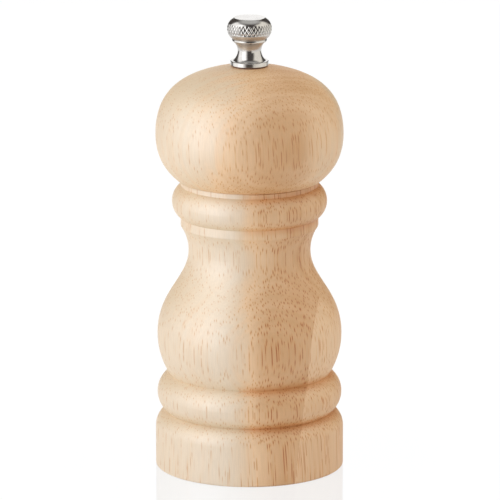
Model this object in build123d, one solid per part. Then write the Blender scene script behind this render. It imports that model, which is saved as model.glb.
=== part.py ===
from build123d import *
import math
import os

# A wooden pepper mill, in millimetres, standing on the plane z = 0 with its axis on Z.
# A turned wooden body holds the peppercorns and a steel grinding set in its foot. A turned
# wooden head fits into the body's mouth and turns a square spindle, which turns the grinding
# cone. The knurled nut on top draws the spindle up for a finer grind.

# Body and head are turned from one blank, and the foot keeps its full size. The bead, the belly
# and the head are cut a little below it.
foot_radius = 28.85
bead_inset = 0.55
belly_inset = 0.6
head_inset = 0.2

# Outside of the body: the radius at each groove and neck, and the rise to each crest and groove
# from the one below.
foot_side = 12.1
shoulder_rise = 5.25
lower_groove_radius = 25.5
bead_under = 5.65
bead_over = 6.05
upper_groove_radius = 24.7
belly_under = 12.35
belly_to_neck = 26.2
belly_fullness = 12.8
neck_fullness = 9.4
neck_radius = 18.65
neck_to_land = 7.75
land_flare = 2.4
land_side = 2.65
collar_under = 4.95
collar_radius = 23.7
collar_over = 4.95
rim_radius = 21.0
rim_side = 1.6

# Outside of the head, from its rim on the body up to the nut's seat.
seam_gap = 0.1
head_rim_radius = 21.8
head_under = 14.2
head_under_lean = 40.0
head_under_lip = 2.8
head_under_fullness = 8.5
head_over = 20.9
head_over_fullness = 16.5
head_top_fullness = 10.4
head_top_slope = 12.0

# Small roundings on the wood.
foot_edge = 0.5
land_edge = 0.7
rim_edge = 0.35
tenon_edge = 0.8

# Hollow of the body.
hopper_radius = 13.5
recess_depth = 9.0
ledge_width = 5.0
seat_clearance = 0.1

# Grinding ring and grinding cone. The radii are those of the tooth crests.
mouth_radius = 13.2
ring_wall = 2.5
ring_height = 12.0
fine_zone = 4.0
fine_slope = 0.45
fine_teeth = 24
fine_depth = 0.7
fine_twist = 6.0
feed_taper = 0.4
ring_feed_teeth = 12
ring_feed_depth = 1.2
ring_feed_twist = 10.0
grind_gap = 0.45
cone_drop = 0.2
cone_height = 11.7
cone_feed_teeth = 8
cone_feed_depth = 1.3
cone_feed_twist = 28.0
cone_floor = 2.2

# How far the nut draws the spindle up for a finer grind, and lets it down for a coarser one.
finer_travel = 0.6
coarser_travel = 1.0

# Plate that holds the grinding ring in the foot.
plate_sheet = 1.0
plate_clearance = 0.3
plate_screws = 3

# Bridge over the grinding ring, which guides the spindle and takes the spring.
bridge_sheet = 1.0
bridge_rise = 12.0
bridge_bend = 0.6
bridge_clearance = 0.9
bridge_foot_margin = 0.2
bridge_edge = 1.4
rivet_radius = 0.8
rivet_depth = 4.0
bush_wall = 1.0
bush_flange = 1.2
bush_flange_height = 1.0
bush_clearance = 0.06

# Spindle, its lower end and its thread.
spindle_side = 5.0
spindle_clearance = 0.05
stud_radius = 2.0
stud_past_nut = 0.5
thread_length = 22.0
thread_clearance = 0.05
thread_tip = 0.5
clip_sheet = 0.8
clip_margin = 1.4
clip_stop_gap = 0.1
cone_washer_height = 0.8
cone_washer_margin = 1.25
cone_nut_flats = 7.0
cone_nut_height = 3.2
cone_nut_chamfer = 30.0

# Spring and the two washers that it works between.
wire = 0.9
spring_turns = 6
spring_clearance = 0.3
spring_end_gap = 0.05
washer_margin = 0.65
washer_clearance = 0.15
seat_height = 0.6
thrust_height = 0.7

# Drive plate under the head.
tenon_length = 11.5
tenon_clearance = 0.4
drive_sheet = 1.5
drive_rim = 2.6
drive_rim_clearance = 0.1
drive_clearance = 0.1
drive_screws = 3
head_bore_clearance = 0.3
head_bore_room = 0.6

# Wood screws: the plate under the ring takes the first kind, the drive plate the second.
screw_clearance = 0.03
screw_point = 1.6
screw_slot_width = 0.6
screw_slot_depth = 0.7
ring_screw_head = 2.0
ring_screw_shank = 1.2
ring_screw_length = 9.0
drive_screw_head = 1.9
drive_screw_shank = 1.0
drive_screw_length = 8.0

# Adjusting nut, from its flange upwards, and the thin washer under it.
nut_washer_height = 0.4
nut_washer_inset = 0.6
nut_flange_radius = 5.8
nut_flange_height = 1.4
nut_wall = 1.1
nut_waist_foot_flare = 1.35
nut_waist_top_flare = 1.15
nut_waist_height = 5.8
nut_waist_at = 2.75
nut_rim_radius = 5.3
nut_rim_height = 0.95
nut_ball_radius = 6.8
nut_ball_under = 3.15
nut_ball_over = 3.3
nut_top_radius = 4.85
nut_roof = 2.0
nut_hole_room = 1.0
nut_edge = 0.15

# Cutting shapes run this far past the faces that they cut.
past = 1.0

# Heights of the body's crests and grooves.
lower_groove_z = foot_side + shoulder_rise
bead_z = lower_groove_z + bead_under
upper_groove_z = bead_z + bead_over
belly_z = upper_groove_z + belly_under
neck_z = belly_z + belly_to_neck
land_z = neck_z + neck_to_land
land_top_z = land_z + land_side
collar_z = land_top_z + collar_under
collar_top_z = collar_z + collar_over
body_top_z = collar_top_z + rim_side

# Heights in the grinding set.
ring_low_z = recess_depth
ring_mid_z = ring_low_z + fine_zone
ring_top_z = ring_low_z + ring_height
shoulder_z = ring_top_z + bridge_sheet
bridge_under_z = shoulder_z + bridge_rise
bridge_top_z = bridge_under_z + bridge_sheet
bush_top_z = bridge_top_z + bush_flange_height
clip_low_z = bush_top_z + coarser_travel + clip_stop_gap
clip_top_z = clip_low_z + clip_sheet
thrust_low_z = bridge_under_z - thrust_height
cone_low_z = ring_low_z - cone_drop
cone_mid_z = cone_low_z + fine_zone
cone_top_z = cone_low_z + cone_height
spring_low_z = cone_top_z + seat_height
cone_washer_low_z = cone_low_z - cone_washer_height
cone_nut_low_z = cone_washer_low_z - cone_nut_height
stud_low_z = cone_nut_low_z - stud_past_nut
square_low_z = cone_low_z + cone_floor

# Heights in the head and the nut.
head_low_z = body_top_z + seam_gap
head_wide_z = head_low_z + head_under
head_seat_z = head_wide_z + head_over
tenon_low_z = head_low_z - tenon_length
drive_top_z = tenon_low_z + drive_sheet
nut_low_z = head_seat_z + nut_washer_height
nut_flange_z = nut_low_z + nut_flange_height
nut_waist_top_z = nut_flange_z + nut_waist_height
nut_rim_z = nut_waist_top_z + nut_rim_height
nut_ball_z = nut_rim_z + nut_ball_under
nut_top_z = nut_ball_z + nut_ball_over
nut_hole_z = nut_top_z - nut_roof
thread_top_z = nut_hole_z - nut_hole_room - finer_travel
square_top_z = thread_top_z - thread_length

# Radii that follow from the sizes above.
bead_radius = foot_radius - bead_inset
belly_radius = foot_radius - belly_inset
head_radius = foot_radius - head_inset
land_radius = neck_radius + land_flare
half_diagonal = spindle_side / math.sqrt(2)
thread_radius = spindle_side / 2
ring_radius = mouth_radius + fine_depth + ring_wall
seat_radius = ring_radius + seat_clearance
recess_radius = seat_radius + ledge_width
plate_radius = recess_radius - plate_clearance
plate_bore = (mouth_radius + fine_depth + ring_radius) / 2
plate_screw_circle = (seat_radius + recess_radius) / 2
ring_mid_radius = mouth_radius - fine_slope * fine_zone
ring_feed_radius = ring_mid_radius - feed_taper
spring_radius = half_diagonal + spring_clearance + wire / 2
washer_bore = half_diagonal + washer_clearance
washer_radius = spring_radius + wire / 2 + washer_margin
cone_low_radius = mouth_radius + fine_slope * cone_drop - grind_gap
cone_mid_radius = cone_low_radius - fine_slope * fine_zone
cone_top_radius = washer_radius + cone_feed_depth
bush_bore = half_diagonal + bush_clearance
bush_radius = bush_bore + bush_wall
strap_half = bush_radius + bridge_edge
leg_out = math.sqrt((hopper_radius - bridge_clearance) ** 2 - strap_half**2)
leg_in = leg_out - bridge_sheet
foot_out = math.sqrt((ring_radius - bridge_foot_margin) ** 2 - strap_half**2)
rivet_place = (ring_feed_radius + ring_feed_depth + foot_out) / 2
tenon_radius = hopper_radius - tenon_clearance
drive_radius = tenon_radius - drive_rim
head_bore = half_diagonal + head_bore_clearance
head_thread_bore = thread_radius + head_bore_clearance
drive_screw_circle = (head_bore + drive_radius) / 2
nut_waist_radius = thread_radius + nut_wall
nut_bore = thread_radius + thread_clearance


def at(radius, z):
    """A point of a turned outline."""
    return Vector(radius, 0, z)


def handle(point, length, degrees):
    """A curve's handle that leaves a point of an outline, at an angle above the level."""
    turn = math.radians(degrees)
    return point + Vector(length * math.cos(turn), 0, length * math.sin(turn))


def turned(edges):
    """A solid turned about Z from a closed outline."""
    return revolve(make_face(edges), Axis.Z)


def crest(groove, top):
    """An arc from a groove that reaches its crest upright."""
    return TangentArc(top, groove, tangent=(0, 0, groove.Z - top.Z))


def disc(radius, low, high):
    """A round bar on the axis between two heights."""
    bar = Cylinder(radius, high - low, align=(Align.CENTER, Align.CENTER, Align.MIN))
    return Pos(0, 0, low) * bar


def washer(outer, inner, low, high):
    """A flat ring on the axis."""
    return disc(outer, low, high) - disc(inner, low - past, high + past)


def square_bar(side, low, high):
    """A square bar on the axis between two heights."""
    bar = Box(side, side, high - low, align=(Align.CENTER, Align.CENTER, Align.MIN))
    return Pos(0, 0, low) * bar


def rims(shape, *places):
    """The round edges of a shape at the given pairs of radius and height."""
    return [
        edge
        for edge in shape.edges().filter_by(GeomType.CIRCLE)
        for radius, z in places
        if abs(edge.radius - radius) < 1e-3 and abs(edge.arc_center.Z - z) < 1e-3
    ]


def star(crest_radius, root_radius, teeth, turn, z):
    """A level toothed outline with sharp crests and roots."""
    step = math.pi / teeth
    corners = []
    for i in range(2 * teeth):
        radius = root_radius if i % 2 else crest_radius
        angle = math.radians(turn) + i * step
        corners.append((radius * math.cos(angle), radius * math.sin(angle), z))
    return make_face(Polyline(*corners, close=True))


def toothed(low, high, depth, teeth, twist):
    """A toothed cone from a low to a high pair of crest radius and height, its teeth on a slant."""
    (low_radius, low_z), (high_radius, high_z) = low, high
    return loft(
        [
            star(low_radius, low_radius + depth, teeth, 0, low_z),
            star(high_radius, high_radius + depth, teeth, twist, high_z),
        ],
        ruled=True,
    )


def stretched(low, high):
    """The same cone, lengthened past both of its ends."""
    (low_radius, low_z), (high_radius, high_z) = low, high
    slope = (high_radius - low_radius) / (high_z - low_z)
    return (low_radius - slope * past, low_z - past), (high_radius + slope * past, high_z + past)


def around(count, radius):
    """Places evenly spaced on a circle."""
    return [
        (radius * math.cos(turn), radius * math.sin(turn))
        for turn in (math.tau * i / count + math.pi / 2 for i in range(count))
    ]


def wood_screw(head, shank, length, x, y, z):
    """A countersunk wood screw that points up, with its cross-slotted head level with z."""
    sink = head - shank
    outline = Polyline(
        at(0, z),
        at(head, z),
        at(shank, z + sink),
        at(shank, z + length - screw_point),
        at(0, z + length),
        close=True,
    )
    slot = Box(2 * shank, screw_slot_width, 2 * screw_slot_depth)
    cross = Pos(0, 0, z) * (slot + Rot(0, 0, 90) * slot)
    return Pos(x, y, 0) * (turned(outline) - cross)


def screw_room(head, shank, length, x, y, z):
    """The countersunk hole that a wood screw fills."""
    sink = head - shank
    room = screw_clearance
    outline = Polyline(
        at(0, z - past),
        at(head + past + room, z - past),
        at(shank + room, z + sink),
        at(shank + room, z + length + room),
        at(0, z + length + room),
        close=True,
    )
    return Pos(x, y, 0) * turned(outline)


def ring_screws(shape):
    """One shape for each screw under the grinding ring."""
    low = recess_depth - plate_sheet
    places = around(plate_screws, plate_screw_circle)
    sizes = (ring_screw_head, ring_screw_shank, ring_screw_length)
    return [shape(*sizes, x, y, low) for x, y in places]


def drive_plate_fixings(shape):
    """One shape for each screw of the drive plate."""
    places = around(drive_screws, drive_screw_circle)
    sizes = (drive_screw_head, drive_screw_shank, drive_screw_length)
    return [shape(*sizes, x, y, tenon_low_z) for x, y in places]


def make_mill_body():
    foot = at(foot_radius, 0)
    foot_top = at(foot_radius, foot_side)
    lower_groove = at(lower_groove_radius, lower_groove_z)
    bead = at(bead_radius, bead_z)
    upper_groove = at(upper_groove_radius, upper_groove_z)
    belly = at(belly_radius, belly_z)
    neck = at(neck_radius, neck_z)
    land = at(land_radius, land_z)
    land_top = at(land_radius, land_top_z)
    collar = at(collar_radius, collar_z)
    collar_top = at(rim_radius, collar_top_z)
    rim = at(rim_radius, body_top_z)
    outline = [
        Line(at(0, 0), foot),
        Line(foot, foot_top),
        crest(lower_groove, foot_top),
        crest(lower_groove, bead),
        crest(upper_groove, bead),
        crest(upper_groove, belly),
        Bezier(belly, handle(belly, belly_fullness, 90), handle(neck, neck_fullness, -90), neck),
        crest(land, neck),
        Line(land, land_top),
        crest(land_top, collar),
        crest(collar_top, collar),
        Line(collar_top, rim),
        Line(rim, at(0, body_top_z)),
        Line(at(0, body_top_z), at(0, 0)),
    ]
    body = turned(outline)
    body -= disc(hopper_radius, -past, body_top_z + past)
    body -= disc(seat_radius, -past, shoulder_z)
    body -= disc(recess_radius, -past, recess_depth)
    body = fillet(rims(body, (foot_radius, 0), (recess_radius, 0)), foot_edge)
    body = fillet(rims(body, (land_radius, land_z)), land_edge)
    body = fillet(rims(body, (rim_radius, body_top_z), (hopper_radius, body_top_z)), rim_edge)
    return body - ring_screws(screw_room)


def make_head():
    rim = at(head_rim_radius, head_low_z)
    wide = at(head_radius, head_wide_z)
    seat = at(nut_flange_radius, head_seat_z)
    outline = [
        Line(at(0, head_low_z), rim),
        Bezier(
            rim,
            handle(rim, head_under_lip, head_under_lean),
            handle(wide, head_under_fullness, -90),
            wide,
        ),
        Bezier(
            wide,
            handle(wide, head_over_fullness, 90),
            handle(seat, head_top_fullness, -head_top_slope),
            seat,
        ),
        Line(seat, at(0, head_seat_z)),
        Line(at(0, head_seat_z), at(0, head_low_z)),
    ]
    head = turned(outline)
    head = fillet(rims(head, (head_rim_radius, head_low_z)), rim_edge)
    tenon = disc(tenon_radius, tenon_low_z, head_low_z + past)
    head += chamfer(rims(tenon, (tenon_radius, tenon_low_z)), tenon_edge)
    head -= disc(drive_radius + drive_rim_clearance, tenon_low_z - past, drive_top_z)
    head -= disc(head_bore, tenon_low_z, square_top_z + finer_travel + head_bore_room)
    head -= disc(head_thread_bore, tenon_low_z, head_seat_z + past)
    return head - drive_plate_fixings(screw_room)


def make_drive_plate():
    plate = disc(drive_radius, tenon_low_z, drive_top_z)
    side = spindle_side + 2 * drive_clearance
    plate -= square_bar(side, tenon_low_z - past, drive_top_z + past)
    return plate - drive_plate_fixings(screw_room)


def make_adjusting_nut():
    flange_top = at(nut_flange_radius, nut_flange_z)
    waist_foot = at(nut_waist_radius + nut_waist_foot_flare, nut_flange_z)
    waist = at(nut_waist_radius, nut_flange_z + nut_waist_at)
    waist_top = at(nut_waist_radius + nut_waist_top_flare, nut_waist_top_z)
    rim_low = at(nut_rim_radius, nut_waist_top_z)
    rim_top = at(nut_rim_radius, nut_rim_z)
    ball = at(nut_ball_radius, nut_ball_z)
    top = at(nut_top_radius, nut_top_z)
    outline = [
        Line(at(0, nut_low_z), at(nut_flange_radius, nut_low_z)),
        Line(at(nut_flange_radius, nut_low_z), flange_top),
        Line(flange_top, waist_foot),
        ThreePointArc(waist_foot, waist, waist_top),
        Line(waist_top, rim_low),
        Line(rim_low, rim_top),
        ThreePointArc(rim_top, ball, top),
        Line(top, at(0, nut_top_z)),
        Line(at(0, nut_top_z), at(0, nut_low_z)),
    ]
    nut = turned(outline)
    nut = fillet(
        rims(
            nut,
            (nut_flange_radius, nut_low_z),
            (nut_flange_radius, nut_flange_z),
            (nut_top_radius, nut_top_z),
        ),
        nut_edge,
    )
    return nut - disc(nut_bore, nut_low_z - past, nut_hole_z)


def make_spindle():
    bar = square_bar(spindle_side, square_low_z, square_top_z)
    bar += disc(stud_radius, stud_low_z, square_low_z)
    thread = disc(thread_radius, square_top_z, thread_top_z)
    return bar + chamfer(rims(thread, (thread_radius, thread_top_z)), thread_tip)


def make_grinding_ring():
    fine = (mouth_radius, ring_low_z), (ring_mid_radius, ring_mid_z)
    feed = (ring_mid_radius, ring_mid_z), (ring_feed_radius, ring_top_z)
    ring = disc(ring_radius, ring_low_z, ring_top_z)
    ring -= toothed(*stretched(*fine), fine_depth, fine_teeth, -fine_twist)
    ring -= toothed(*stretched(*feed), ring_feed_depth, ring_feed_teeth, -ring_feed_twist)
    return ring - rivet_shapes()


def make_grinding_cone():
    fine = (cone_low_radius, cone_low_z), (cone_mid_radius, cone_mid_z)
    feed = (cone_mid_radius, cone_mid_z), (cone_top_radius, cone_top_z)
    cone = toothed(*fine, -fine_depth, fine_teeth, fine_twist)
    cone += toothed(*feed, -cone_feed_depth, cone_feed_teeth, cone_feed_twist)
    cone -= square_bar(spindle_side + 2 * spindle_clearance, square_low_z, cone_top_z + past)
    return cone - disc(stud_radius + spindle_clearance, cone_low_z - past, square_low_z + past)


def make_retaining_plate():
    low = recess_depth - plate_sheet
    return washer(plate_radius, plate_bore, low, recess_depth) - ring_screws(screw_room)


def make_bridge():
    corners = [
        at(0, bridge_top_z),
        at(leg_out, bridge_top_z),
        at(leg_out, shoulder_z),
        at(foot_out, shoulder_z),
        at(foot_out, ring_top_z),
        at(leg_in, ring_top_z),
        at(leg_in, bridge_under_z),
        at(0, bridge_under_z),
    ]
    half = extrude(make_face(Polyline(*corners, close=True)), strap_half, both=True, dir=(0, 1, 0))
    outer = [(leg_out, bridge_top_z), (leg_in, ring_top_z)]
    inner = [(leg_out, shoulder_z), (leg_in, bridge_under_z)]
    for bends, radius in ((inner, bridge_bend), (outer, bridge_bend + bridge_sheet)):
        edges = [
            edge
            for edge in half.edges().filter_by(Axis.Y)
            for x, z in bends
            if math.hypot(edge.center().X - x, edge.center().Z - z) < 1e-3
        ]
        half = fillet(edges, radius)
    bridge = half + mirror(half, Plane.YZ)
    bridge -= disc(bush_radius, bridge_under_z - past, bridge_top_z + past)
    return bridge - rivet_shapes()


def rivet_shapes():
    """The two rivets, flush with the bridge's feet."""
    rivet = disc(rivet_radius, ring_top_z - rivet_depth, shoulder_z)
    return [Pos(side * rivet_place, 0, 0) * rivet for side in (-1, 1)]


def make_bridge_bush():
    body = washer(bush_radius, bush_bore, bridge_under_z, bridge_top_z)
    return body + washer(bush_radius + bush_flange, bush_bore, bridge_top_z, bush_top_z)


def make_spindle_clip():
    clip = disc(bush_bore + clip_margin, clip_low_z, clip_top_z)
    return clip - square_bar(spindle_side, clip_low_z - past, clip_top_z + past)


def make_cone_nut():
    across_corners = cone_nut_flats / math.cos(math.pi / 6)
    hexagon = RegularPolygon(across_corners / 2, 6)
    nut = extrude(Pos(0, 0, cone_nut_low_z) * hexagon, cone_nut_height)
    slope = math.tan(math.radians(cone_nut_chamfer))
    wide = cone_nut_flats / 2 + past
    blank = Polyline(
        at(0, cone_nut_low_z),
        at(cone_nut_flats / 2, cone_nut_low_z),
        at(wide, cone_nut_low_z + slope * past),
        at(wide, cone_washer_low_z),
        at(0, cone_washer_low_z),
        close=True,
    )
    nut &= turned(blank)
    return nut - disc(stud_radius + spindle_clearance, stud_low_z - past, cone_low_z)


def arc_from(start, way, end):
    """An arc that leaves a point along a direction and ends at another point."""
    reach = end - start
    side = (reach - way * reach.dot(way)).normalized()
    radius = reach.dot(reach) / (2 * reach.dot(side))
    centre = start + side * radius
    middle = centre + ((start - centre) + (end - centre)).normalized() * radius
    return ThreePointArc(start, middle, end)


def biarc(start, start_way, end, end_way):
    """Two arcs that meet smoothly between two points with given directions."""
    reach = end - start
    ways = start_way + end_way
    spread = 2 * (1 - start_way.dot(end_way))
    along = reach.dot(ways)
    length = (math.sqrt(along**2 + spread * reach.dot(reach)) - along) / spread
    joint = (start + end + (start_way - end_way) * length) / 2
    joint_way = (joint - start - start_way * length).normalized()
    return [arc_from(start, start_way, joint), arc_from(joint, joint_way, end)]


def spring_point(turns):
    """The middle of the spring's wire after a number of turns from its lower end."""
    angle = math.tau * turns
    rise = spring_pitch() * turns
    low = spring_low_z + spring_end_gap + wire / 2
    return Vector(spring_radius * math.cos(angle), spring_radius * math.sin(angle), low + rise)


def spring_way(turns):
    """The direction of the spring's wire there."""
    angle = math.tau * turns
    run = math.tau * spring_radius
    way = Vector(-run * math.sin(angle), run * math.cos(angle), spring_pitch())
    return way.normalized()


def spring_pitch():
    return (thrust_low_z - spring_low_z - wire - 2 * spring_end_gap) / spring_turns


def make_spring():
    path = []
    for half_turn in range(2 * spring_turns):
        start, end = half_turn / 2, (half_turn + 1) / 2
        path += biarc(spring_point(start), spring_way(start), spring_point(end), spring_way(end))
    section = Plane(spring_point(0), z_dir=spring_way(0)) * Circle(wire / 2)
    return sweep(section, path=Wire(path))


def spring_self_gap(samples_per_turn=48):
    """The least gap between one turn of the wire and another, measured on points."""
    count = samples_per_turn * spring_turns
    points = [spring_point(i / samples_per_turn) for i in range(count + 1)]
    apart = samples_per_turn // 2
    pairs = ((i, j) for i in range(count + 1) for j in range(i + apart, count + 1))
    return min((points[i] - points[j]).length for i, j in pairs) - wire


nodes = {
    "mill_body": make_mill_body(),
    "grinding_ring": make_grinding_ring(),
    "retaining_plate": make_retaining_plate(),
    "retaining_screws": Compound(children=ring_screws(wood_screw)),
    "bridge": make_bridge(),
    "bridge_rivets": Compound(children=rivet_shapes()),
    "bridge_bush": make_bridge_bush(),
    "thrust_washer": washer(washer_radius, washer_bore, thrust_low_z, bridge_under_z),
    "spring": make_spring(),
    "spring_seat": washer(washer_radius, washer_bore, cone_top_z, spring_low_z),
    "spindle": make_spindle(),
    "spindle_clip": make_spindle_clip(),
    "grinding_cone": make_grinding_cone(),
    "cone_washer": washer(
        cone_nut_flats / 2 + cone_washer_margin,
        stud_radius + spindle_clearance,
        cone_washer_low_z,
        cone_low_z,
    ),
    "cone_nut": make_cone_nut(),
    "head": make_head(),
    "drive_plate": make_drive_plate(),
    "drive_plate_screws": Compound(children=drive_plate_fixings(wood_screw)),
    "nut_washer": washer(
        nut_flange_radius - nut_washer_inset, head_thread_bore, head_seat_z, nut_low_z
    ),
    "adjusting_nut": make_adjusting_nut(),
}

os.makedirs("parts", exist_ok=True)
for name, shape in nodes.items():
    export_step(shape, f"parts/{name}.step")
print(f"{len(nodes)} pieces, {nut_top_z:.1f} mm tall")
print(f"spring: pitch {spring_pitch():.2f} mm, least gap to itself {spring_self_gap():.2f} mm")
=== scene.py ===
# %% [markdown]
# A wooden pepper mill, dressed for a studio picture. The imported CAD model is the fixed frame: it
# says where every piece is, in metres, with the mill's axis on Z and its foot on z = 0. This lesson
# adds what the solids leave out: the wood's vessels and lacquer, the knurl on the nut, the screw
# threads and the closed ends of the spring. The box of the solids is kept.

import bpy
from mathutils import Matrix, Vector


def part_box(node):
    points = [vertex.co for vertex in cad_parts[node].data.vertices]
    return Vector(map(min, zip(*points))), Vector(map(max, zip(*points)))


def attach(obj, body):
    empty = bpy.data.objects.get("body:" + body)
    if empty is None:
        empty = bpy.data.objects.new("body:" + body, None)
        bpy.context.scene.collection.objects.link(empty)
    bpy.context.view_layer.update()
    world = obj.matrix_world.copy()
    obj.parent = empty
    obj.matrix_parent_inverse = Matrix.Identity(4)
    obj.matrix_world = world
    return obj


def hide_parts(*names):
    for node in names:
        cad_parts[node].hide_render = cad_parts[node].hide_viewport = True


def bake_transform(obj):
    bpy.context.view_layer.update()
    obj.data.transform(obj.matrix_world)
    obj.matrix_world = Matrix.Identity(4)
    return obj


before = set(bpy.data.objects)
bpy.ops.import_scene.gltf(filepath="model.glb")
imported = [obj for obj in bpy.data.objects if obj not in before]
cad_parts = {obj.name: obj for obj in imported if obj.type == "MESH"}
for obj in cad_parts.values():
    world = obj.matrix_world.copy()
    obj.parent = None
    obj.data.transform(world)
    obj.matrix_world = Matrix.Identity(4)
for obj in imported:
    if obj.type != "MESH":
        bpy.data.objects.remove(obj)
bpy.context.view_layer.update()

import math

import bmesh
import bpy
from mathutils import Vector

MM = 0.001
scene = bpy.context.scene
scene.view_settings.view_transform = "Standard"

# %% [markdown]
# The picture was taken with a long lens from a little above the mill. Distance, height and tilt were
# worked out from the ellipses of the foot, the seam and the nut's top, so the camera is placed by
# those three numbers and needs no shift. The lens follows from its focal length in pixels.

# %% Camera
PICTURE_SIDE = 500
FOCAL_PIXELS = 5238.6
CAMERA_DISTANCE = 1.5588
CAMERA_HEIGHT = 0.4412
CAMERA_ASIDE = 0.00015
CAMERA_TILT = math.radians(13.49)

camera_data = bpy.data.cameras.new("camera")
camera_data.lens = FOCAL_PIXELS * camera_data.sensor_width / PICTURE_SIDE
camera = bpy.data.objects.new("camera", camera_data)
camera.location = (CAMERA_ASIDE, -CAMERA_DISTANCE, CAMERA_HEIGHT)
camera.rotation_euler = (math.pi / 2 - CAMERA_TILT, 0, 0)
scene.collection.objects.link(camera)
scene.camera = camera
print(f"lens {camera_data.lens:.0f} mm, {math.hypot(CAMERA_DISTANCE, CAMERA_HEIGHT):.2f} m from the mill")

# %% [markdown]
# Every finish below is a tree of shader nodes. Adding a node, setting it and linking it takes three
# lines each time, so small helpers do that: for any node, for sums on numbers and on vectors, for a
# soft step between two values, for mixing two colours and for a ramp of colours.


# %% Helpers for shader nodes
def add(tree, kind, inputs=(), **settings):
    """Adds a node, sets it up, and fills its inputs with plain values or with links."""
    made = tree.nodes.new(kind)
    for name, value in settings.items():
        setattr(made, name, value)
    for name, value in dict(inputs).items():
        fill(tree, made.inputs[name], value)
    return made


def fill(tree, socket, value):
    """Links an output to a socket, or sets the socket to a value."""
    if isinstance(value, bpy.types.NodeSocket):
        tree.links.new(value, socket)
    else:
        socket.default_value = value


def calc(tree, operation, first, second=0.0):
    """The result of a sum on one or two numbers."""
    return add(tree, "ShaderNodeMath", {0: first, 1: second}, operation=operation).outputs[0]


def vectors(tree, operation, first, second=None, scale=None):
    """The result of a sum on vectors: a number for a length or a dot product, or else a vector."""
    inputs = {0: first}
    if second is not None:
        inputs[1] = second
    if scale is not None:
        inputs["Scale"] = scale
    made = add(tree, "ShaderNodeVectorMath", inputs, operation=operation)
    return made.outputs["Value" if operation in ("DOT_PRODUCT", "LENGTH") else "Vector"]


def split(tree, vector):
    """The X, Y and Z of a vector."""
    return add(tree, "ShaderNodeSeparateXYZ", {0: vector}).outputs


def soft_step(tree, value, start, end, low=0.0, high=1.0):
    """Goes smoothly from low to high while the value goes from start to end."""
    steps = {"Value": value, "From Min": start, "From Max": end, "To Min": low, "To Max": high}
    made = add(tree, "ShaderNodeMapRange", steps, interpolation_type="SMOOTHSTEP")
    return made.outputs["Result"]


def mix(tree, share, first, second):
    """A colour between two colours."""
    made = add(tree, "ShaderNodeMix", {"Factor": share}, data_type="RGBA")
    fill(tree, made.inputs[6], first)
    fill(tree, made.inputs[7], second)
    return made.outputs[2]


def ramp(tree, value, stops):
    """The colour at a value between 0 and 1, along stops of a place and a colour."""
    made = add(tree, "ShaderNodeValToRGB", {"Fac": value})
    elements = made.color_ramp.elements
    elements[0].color = stops[0][1]
    elements[1].color = stops[-1][1]
    for spot, colour in stops[1:-1]:
        elements.new(spot).color = colour
    return made.outputs["Color"]


def rgb(red, green, blue):
    """A colour in linear light, opaque."""
    return (red, green, blue, 1.0)


helpers = (add, fill, calc, vectors, split, soft_step, mix, ramp, rgb)
print("helpers: " + ", ".join(helper.__name__ for helper in helpers))

# %% [markdown]
# In the picture the mill stands on a white sweep. A large soft light with a bright strip stands at the
# left front, and a cream wall and table lie at the right. The polished nut mirrors all that, and the
# dark places between: behind the camera, overhead, and a dark flag on either side of the background.
# A round grey light above, a little behind the mill, shows as a patch on the nut's shoulder. Boxes
# around the mill could make this room, but they would also light the wood. So the world is painted by
# direction: a ramp once around the mill, then the ceiling, the top light and the table. Only mirrored
# rays see it. The nickel mirrors about 0.6 of what it sees, so lamps are painted brighter than white.
# Plain diffuse light gets an even value, a little warmer from behind, and the camera sees white.

# %% Painted room
BRIGHT = rgb(2.2, 2.2, 2.2)
WHITE = rgb(1.5, 1.5, 1.5)
BACK = rgb(1.25, 1.25, 1.25)
CREAM = rgb(1.18, 1.14, 1.05)
DIM = rgb(0.085, 0.076, 0.07)
DARK = rgb(0.09, 0.08, 0.076)
ROOM = [
    (-180, BACK), (-172, BACK), (-164, DIM), (-126, DIM), (-110, WHITE), (-76, WHITE), (-68, BRIGHT),
    (-46, BRIGHT), (-38, WHITE), (-18, DARK), (34, DARK), (54, CREAM), (122, CREAM), (135, DIM),
    (166, DIM), (174, BACK), (180, BACK),
]
CEILING = (0.72, 0.9)
TOP_LIGHT_WAY = (0.0, 0.15, 0.99)
TOP_LIGHT_EDGE = (0.78, 0.97)
TOP_LIGHT_TONE = rgb(0.72, 0.72, 0.71)
TABLE_NEAR = (math.radians(14), math.radians(30))
TABLE_FAR = (1.4, 1.0)
TABLE_DROP = (-0.1, -0.2)

world = bpy.data.worlds.new("studio")
world.use_nodes = True
scene.world = world
sky = world.node_tree
sky.nodes.clear()
way = add(sky, "ShaderNodeTexCoord").outputs["Generated"]
toward = split(sky, way)
away = calc(sky, "MULTIPLY", toward["Y"], -1.0)
around = calc(sky, "ARCTAN2", toward["X"], away)
whole_turn = calc(sky, "ADD", calc(sky, "DIVIDE", around, math.tau), 0.5)
room = ramp(sky, whole_turn, [((degrees + 180) / 360, colour) for degrees, colour in ROOM])
room = mix(sky, soft_step(sky, toward["Z"], *CEILING), room, DIM)
near_top = vectors(sky, "DOT_PRODUCT", way, TOP_LIGHT_WAY)
room = mix(sky, soft_step(sky, near_top, *TOP_LIGHT_EDGE), room, TOP_LIGHT_TONE)
table = calc(sky, "MULTIPLY", soft_step(sky, around, *TABLE_NEAR), soft_step(sky, around, *TABLE_FAR))
table = calc(sky, "MULTIPLY", table, soft_step(sky, toward["Z"], *TABLE_DROP))
room = mix(sky, table, room, CREAM)
print(f"room of {len(ROOM)} stops for the nut to mirror")

# %% What each ray sees
FRONT_LIGHT = rgb(0.64, 0.64, 0.655)
BACK_LIGHT = rgb(0.65, 0.58, 0.49)
FRONT_TO_BACK = (0.3, -0.5)

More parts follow.
